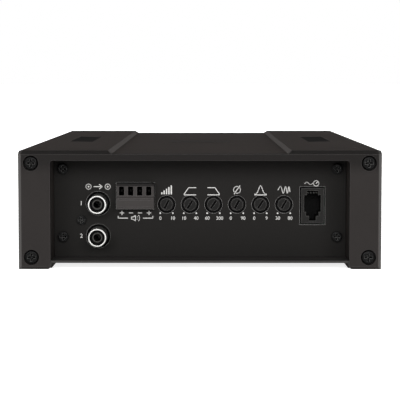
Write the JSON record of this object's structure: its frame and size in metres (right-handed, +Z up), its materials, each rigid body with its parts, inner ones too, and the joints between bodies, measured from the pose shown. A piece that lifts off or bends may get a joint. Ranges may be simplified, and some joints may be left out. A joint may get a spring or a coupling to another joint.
{
  "type": "car amplifier",
  "caption": "Compact low car amplifier with an inverted-U heat sink shell, recessed end panels, slotted adjusters, line inputs, remote jack, clamp terminals and blade fuses.",
  "frame": {"origin": "centre of the footprint, on the surface that the feet stand on", "axes": "+Z up, -Y out of the control end, +X to the right when the control end is looked at"},
  "size_m": [0.156, 0.27, 0.051],
  "materials": {
    "body_coat": "fine satin black powder coat on aluminium",
    "bezel_coat": "fine satin black powder coat on cast aluminium",
    "sheet_coat": "satin black paint on sheet steel",
    "panel_coat": "satin black paint on sheet steel",
    "black_screw": "black oxide steel",
    "bright_screw": "zinc plated steel",
    "inlay_black": "dark satin moulding",
    "badge_metal": "dark brushed aluminium",
    "black_moulding": "satin black moulding",
    "grey_moulding": "dark grey moulding",
    "nickel": "bright nickel plate",
    "contact_metal": "plated brass",
    "board_green": "green coated glass laminate",
    "ferrite": "grey ferrite",
    "copper_wire": "enamelled copper wire",
    "can_sleeve": "dark sleeve on an aluminium can",
    "pad_grey": "grey silicone",
    "fuse_body": "orange translucent moulding",
    "light_lens": "translucent blue moulding",
    "plated_steel": "tin plated steel"
  },
  "bodies": {
    "chassis": {"badge_plate": "badge_metal", "bezel_screws": "black_screw", "board_link": "black_moulding", "board_screws": "bright_screw", "bottom_plate": "sheet_coat", "bottom_screws": "black_screw", "capacitors": "can_sleeve", "choke_core": "ferrite", "choke_winding": "copper_wire", "clamp_bars": "plated_steel", "clamp_screws": "bright_screw", "contact_plates": "plated_steel", "control_chips": "black_moulding", "control_panel": "panel_coat", "front_bezel": "bezel_coat", "fuse_holder": "black_moulding", "inlays": "inlay_black", "input_board": "board_green", "insulating_pads": "pad_grey", "level_pins": "contact_metal", "level_socket": "grey_moulding", "main_board": "board_green", "panel_screws": "black_screw", "pot_body_1": "black_moulding", "pot_body_2": "black_moulding", "pot_body_3": "black_moulding", "pot_body_4": "black_moulding", "pot_body_5": "black_moulding", "pot_body_6": "black_moulding", "power_block": "black_moulding", "power_light": "light_lens", "rca_block": "black_moulding", "rca_block_screw": "black_screw", "rca_contacts": "contact_metal", "rca_insulators": "black_moulding", "rca_shells": "nickel", "rear_bezel": "bezel_coat", "rear_panel": "panel_coat", "remote_contacts": "contact_metal", "remote_jack": "black_moulding", "shell": "body_coat", "speaker_block": "black_moulding", "standoffs": "bright_screw", "transformer_core": "ferrite", "transformer_winding": "copper_wire", "transistors": "black_moulding"},
    "adjuster_1": {"pot_shaft_1": "black_moulding"},
    "adjuster_2": {"pot_shaft_2": "black_moulding"},
    "adjuster_3": {"pot_shaft_3": "black_moulding"},
    "adjuster_4": {"pot_shaft_4": "black_moulding"},
    "adjuster_5": {"pot_shaft_5": "black_moulding"},
    "adjuster_6": {"pot_shaft_6": "black_moulding"},
    "clamp_1": {"terminal_screw_1": "bright_screw"},
    "clamp_2": {"terminal_screw_2": "bright_screw"},
    "clamp_3": {"terminal_screw_3": "bright_screw"},
    "clamp_4": {"terminal_screw_4": "bright_screw"},
    "clamp_5": {"terminal_screw_5": "bright_screw"},
    "pulled_fuse_1": {"fuse_1": "fuse_body"},
    "pulled_fuse_2": {"fuse_2": "fuse_body"}
  },
  "joints": [
    {"name": "adjuster_1_turn", "type": "hinge", "parent": "chassis", "child": "adjuster_1", "pos_m": [-0.01466, -0.1195, 0.02685], "axis": [0, 1, 0], "range_deg": [0, 285]},
    {"name": "adjuster_2_turn", "type": "hinge", "parent": "chassis", "child": "adjuster_2", "pos_m": [-0.00436, -0.1195, 0.02685], "axis": [0, 1, 0], "range_deg": [0, 285]},
    {"name": "adjuster_3_turn", "type": "hinge", "parent": "chassis", "child": "adjuster_3", "pos_m": [0.00594, -0.1195, 0.02685], "axis": [0, 1, 0], "range_deg": [0, 285]},
    {"name": "adjuster_4_turn", "type": "hinge", "parent": "chassis", "child": "adjuster_4", "pos_m": [0.01624, -0.1195, 0.02685], "axis": [0, 1, 0], "range_deg": [0, 285]},
    {"name": "adjuster_5_turn", "type": "hinge", "parent": "chassis", "child": "adjuster_5", "pos_m": [0.02654, -0.1195, 0.02685], "axis": [0, 1, 0], "range_deg": [0, 285]},
    {"name": "adjuster_6_turn", "type": "hinge", "parent": "chassis", "child": "adjuster_6", "pos_m": [0.03684, -0.1195, 0.02685], "axis": [0, 1, 0], "range_deg": [0, 285]},
    {"name": "clamp_1_travel", "type": "slide", "parent": "chassis", "child": "clamp_1", "axis": [0, 1, 0], "range_m": [0, 0.004]},
    {"name": "clamp_2_travel", "type": "slide", "parent": "chassis", "child": "clamp_2", "axis": [0, 1, 0], "range_m": [0, 0.004]},
    {"name": "clamp_3_travel", "type": "slide", "parent": "chassis", "child": "clamp_3", "axis": [0, 1, 0], "range_m": [0, 0.004]},
    {"name": "clamp_4_travel", "type": "slide", "parent": "chassis", "child": "clamp_4", "axis": [0, 1, 0], "range_m": [0, 0.004]},
    {"name": "clamp_5_travel", "type": "slide", "parent": "chassis", "child": "clamp_5", "axis": [0, 1, 0], "range_m": [0, 0.004]},
    {"name": "fuse_1_pull", "type": "slide", "parent": "chassis", "child": "pulled_fuse_1", "axis": [0, 1, 0], "range_m": [0, 0.016]},
    {"name": "fuse_2_pull", "type": "slide", "parent": "chassis", "child": "pulled_fuse_2", "axis": [0, 1, 0], "range_m": [0, 0.016]}
  ]
}
